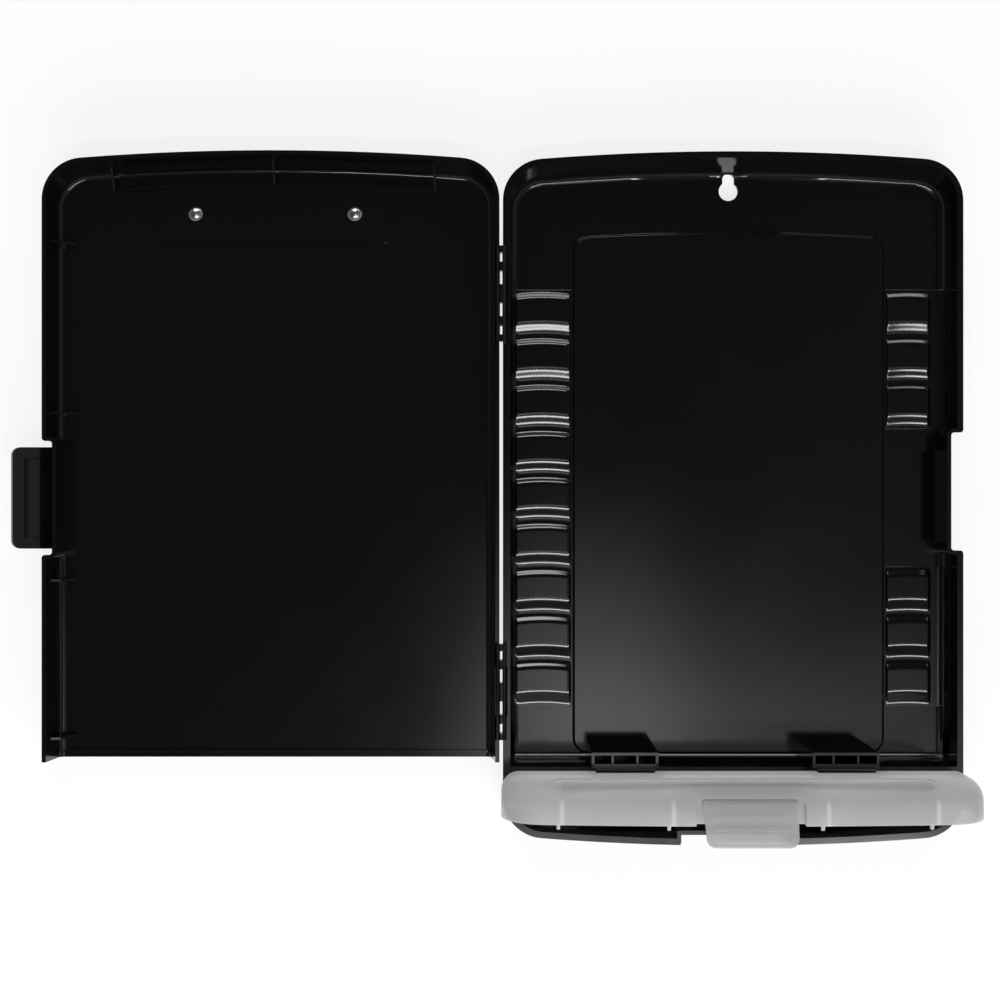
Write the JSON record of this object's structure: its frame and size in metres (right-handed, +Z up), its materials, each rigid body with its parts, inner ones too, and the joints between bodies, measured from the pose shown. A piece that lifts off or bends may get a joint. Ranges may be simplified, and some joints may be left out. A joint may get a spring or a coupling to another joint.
{
  "type": "storage clipboard",
  "caption": "Hinged storage clipboard: deep tray and hollow cover that latch together, spring clip on the cover, and a pen compartment under its own latched flap.",
  "frame": {"origin": "middle of the opened box on the surface that it lies on", "axes": "+X across the opened box from the cover to the tray, +Y along the long hinge towards the clip end, +Z up"},
  "size_m": [0.5008, 0.3665, 0.0898],
  "materials": {
    "black_shell": "glossy moulded",
    "frosted_flap": "frosted translucent",
    "plated_steel": "nickel plated"
  },
  "bodies": {
    "tray": {"tray_shell": "black_shell"},
    "cover": {"cover_shell": "black_shell", "clip_base_plate": "plated_steel", "clip_pin": "plated_steel", "clip_spring_left": "plated_steel", "clip_spring_right": "plated_steel", "clip_rivet_left": "plated_steel", "clip_rivet_right": "plated_steel"},
    "cover_latch": {"cover_latch": "black_shell"},
    "pen_flap": {"pen_flap": "frosted_flap"},
    "pen_flap_latch": {"pen_flap_latch": "frosted_flap"},
    "clip_jaw": {"clip_jaw": "plated_steel"}
  },
  "joints": [
    {"name": "cover_hinge", "type": "hinge", "parent": "tray", "child": "cover", "pos_m": [0.0063, 0, 0.0262], "axis": [0, 1, 0], "range_deg": [0, 180]},
    {"name": "cover_latch_hinge", "type": "hinge", "parent": "cover", "child": "cover_latch", "pos_m": [-0.2305, 0.0003, 0.017], "axis": [0, 1, 0], "range_deg": [0, 50], "stiffness_Nm_per_rad": 0.02},
    {"name": "pen_flap_hinge", "type": "hinge", "parent": "tray", "child": "pen_flap", "pos_m": [0.1288, -0.1435, 0.0434], "axis": [1, 0, 0], "range_deg": [0, 90]},
    {"name": "pen_flap_latch_hinge", "type": "hinge", "parent": "pen_flap", "child": "pen_flap_latch", "pos_m": [0.1288, -0.1497, 0.0773], "axis": [1, 0, 0], "range_deg": [0, 26], "stiffness_Nm_per_rad": 0.02},
    {"name": "clip_jaw_hinge", "type": "hinge", "parent": "cover", "child": "clip_jaw", "pos_m": [-0.11515, 0.1605, 0.004], "axis": [1, 0, 0], "range_deg": [0, 15], "stiffness_Nm_per_rad": 0.3, "springref_deg": -34.38}
  ]
}
